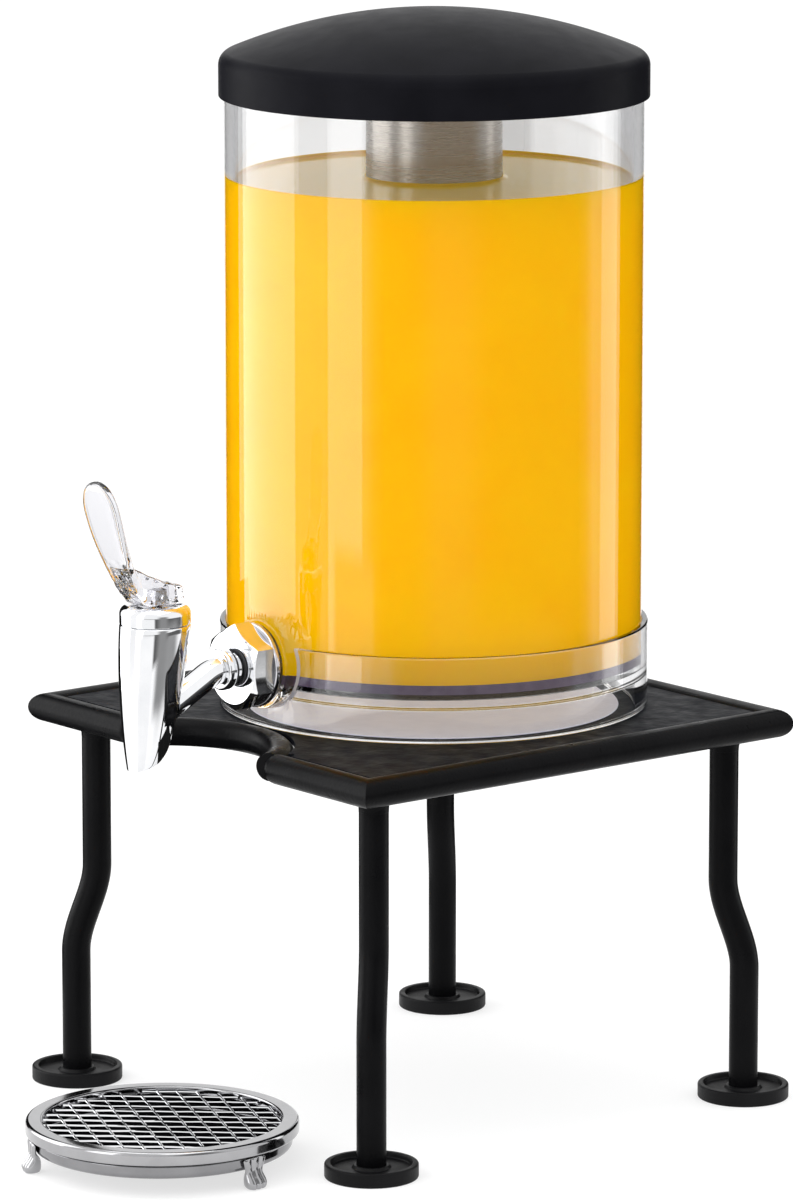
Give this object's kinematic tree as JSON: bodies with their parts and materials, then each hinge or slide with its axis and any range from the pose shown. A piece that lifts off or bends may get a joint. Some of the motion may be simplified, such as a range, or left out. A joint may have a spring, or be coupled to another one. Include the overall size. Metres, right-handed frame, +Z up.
{
  "type": "juice dispenser",
  "caption": "Clear cylindrical juice dispenser with domed lid, ice tube and chrome lever tap, on a notched iron stand with round feet, with a round drip tray under the tap.",
  "frame": {"origin": "middle of the footprint, from the rear feet to the front of the drip tray, on the table", "axes": "+Z up, the tap points to -Y, +X to the right of someone facing the tap"},
  "size_m": [0.274, 0.377, 0.524],
  "materials": {
    "black_iron": "satin black paint",
    "foot_plastic": "satin black",
    "clear_acrylic": "clear, polished",
    "juice": "cloudy orange juice",
    "chrome": "polished",
    "steel": "fine brushed",
    "seal_rubber": "matt",
    "black_plastic": "satin black"
  },
  "bodies": {
    "stand": {"stand_frame": "black_iron", "stand_plate": "black_iron", "leg_front_left": "black_iron", "leg_front_right": "black_iron", "leg_rear_left": "black_iron", "leg_rear_right": "black_iron", "foot_front_left": "foot_plastic", "foot_front_right": "foot_plastic", "foot_rear_left": "foot_plastic", "foot_rear_right": "foot_plastic"},
    "container": {"base_collar": "clear_acrylic", "container_floor": "clear_acrylic", "container_tube": "clear_acrylic", "juice": "juice", "tap_boss": "clear_acrylic", "tap_gasket": "seal_rubber", "tap_washer": "chrome", "tap_nut": "chrome", "tap_body": "chrome", "tap_bonnet": "chrome", "stem_spring": "steel"},
    "cover": {"lid": "black_plastic", "lid_seal": "seal_rubber"},
    "ice_core": {"ice_tube": "steel", "ice_tube_base": "steel", "ice_tube_ring": "black_plastic", "ice_tube_seal": "seal_rubber"},
    "stem": {"valve_stem": "steel", "seat_cup": "seal_rubber", "stem_seal": "seal_rubber", "cross_pin": "steel"},
    "tap_lever": {"lever": "clear_acrylic"},
    "drip_tray": {"tray_dish": "chrome", "tray_foot_right": "chrome", "tray_foot_rear": "chrome", "tray_foot_front": "chrome"},
    "tray_cover": {"tray_rim": "chrome", "tray_grille": "chrome"}
  },
  "joints": [
    {"name": "container_lift", "type": "slide", "parent": "stand", "child": "container", "axis": [0, 0, 1], "range_m": [0, 0.08]},
    {"name": "lid_lift", "type": "slide", "parent": "container", "child": "cover", "axis": [0, 0, 1], "range_m": [0, 0.27]},
    {"name": "ice_tube_twist", "type": "hinge", "parent": "cover", "child": "ice_core", "pos_m": [0, 0.067, 0.497], "axis": [0, 0, 1], "range_deg": [0, 60]},
    {"name": "stem_lift", "type": "slide", "parent": "container", "child": "stem", "axis": [0, 0, 1], "range_m": [0, 0.00488], "stiffness_N_per_m": 1200, "springref_m": -0.004, "deforming": ["stem_spring"]},
    {"name": "lever_tilt", "type": "hinge", "parent": "stem", "child": "tap_lever", "pos_m": [0, -0.1005, 0.2615], "axis": [1, 0, 0], "range_deg": [0, 35]},
    {"name": "tray_lift", "type": "slide", "parent": "stand", "child": "drip_tray", "axis": [0, 0, 1], "range_m": [0, 0.08]},
    {"name": "tray_cover_lift", "type": "slide", "parent": "drip_tray", "child": "tray_cover", "axis": [0, 0, 1], "range_m": [0, 0.04]}
  ],
  "couplings": [
    {"joint": "lever_tilt", "follows": "stem_lift", "rad_per_m": 125}
  ]
}
